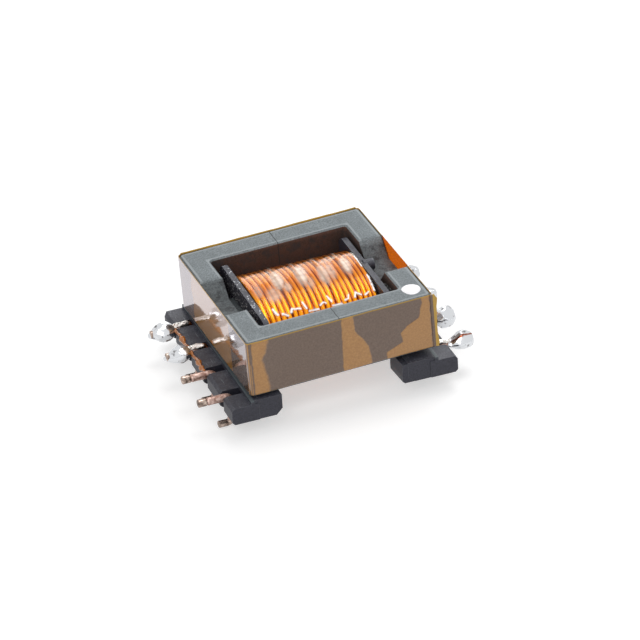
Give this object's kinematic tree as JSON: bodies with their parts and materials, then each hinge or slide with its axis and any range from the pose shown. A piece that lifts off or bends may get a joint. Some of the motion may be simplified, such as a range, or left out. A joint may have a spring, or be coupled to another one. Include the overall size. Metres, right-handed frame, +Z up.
{
  "type": "pcb transformer",
  "caption": "Surface-mount transformer: a flat rectangular ferrite E core round an orange copper coil on a black bobbin with pin rails.",
  "frame": {"origin": "on the board, under the middle of the two rows of pins", "axes": "+Z up from the board, X along the coil and across the two pin rails, Y along the rows of pins"},
  "size_m": [0.0226, 0.0162, 0.0083],
  "materials": {
    "ferrite": "fired ferrite, matt blue-grey",
    "moulding": "moulded thermoset, matt black",
    "clear_film": "clear glossy film tape",
    "enamelled_copper": "orange enamelled copper wire",
    "polyimide_film": "amber film tape on the dark core",
    "white_paint": "glossy white paint",
    "cement": "dark glossy cement",
    "copper_pin": "dull pinkish copper wire",
    "stripped_copper": "stripped copper wire",
    "solder": "bright solder"
  },
  "bodies": {
    "root": {"core_half_right": "ferrite", "core_half_left": "ferrite", "bobbin": "moulding", "coil_wrap": "clear_film", "outer_winding": "enamelled_copper", "interlayer_film": "clear_film", "inner_winding": "enamelled_copper", "core_tape": "polyimide_film", "polarity_dot": "white_paint", "core_cement": "cement", "terminal_1": "copper_pin", "lead_1": "stripped_copper", "solder_joint_1": "solder", "terminal_2": "copper_pin", "lead_2": "stripped_copper", "solder_joint_2": "solder", "terminal_3": "copper_pin", "lead_3": "stripped_copper", "solder_joint_3": "solder", "terminal_4": "copper_pin", "lead_4": "stripped_copper", "solder_joint_4": "solder", "terminal_5": "copper_pin", "lead_5": "stripped_copper", "solder_joint_5": "solder", "terminal_6": "copper_pin", "lead_6": "stripped_copper", "solder_joint_6": "solder", "terminal_7": "copper_pin", "terminal_8": "copper_pin"}
  },
  "joints": []
}
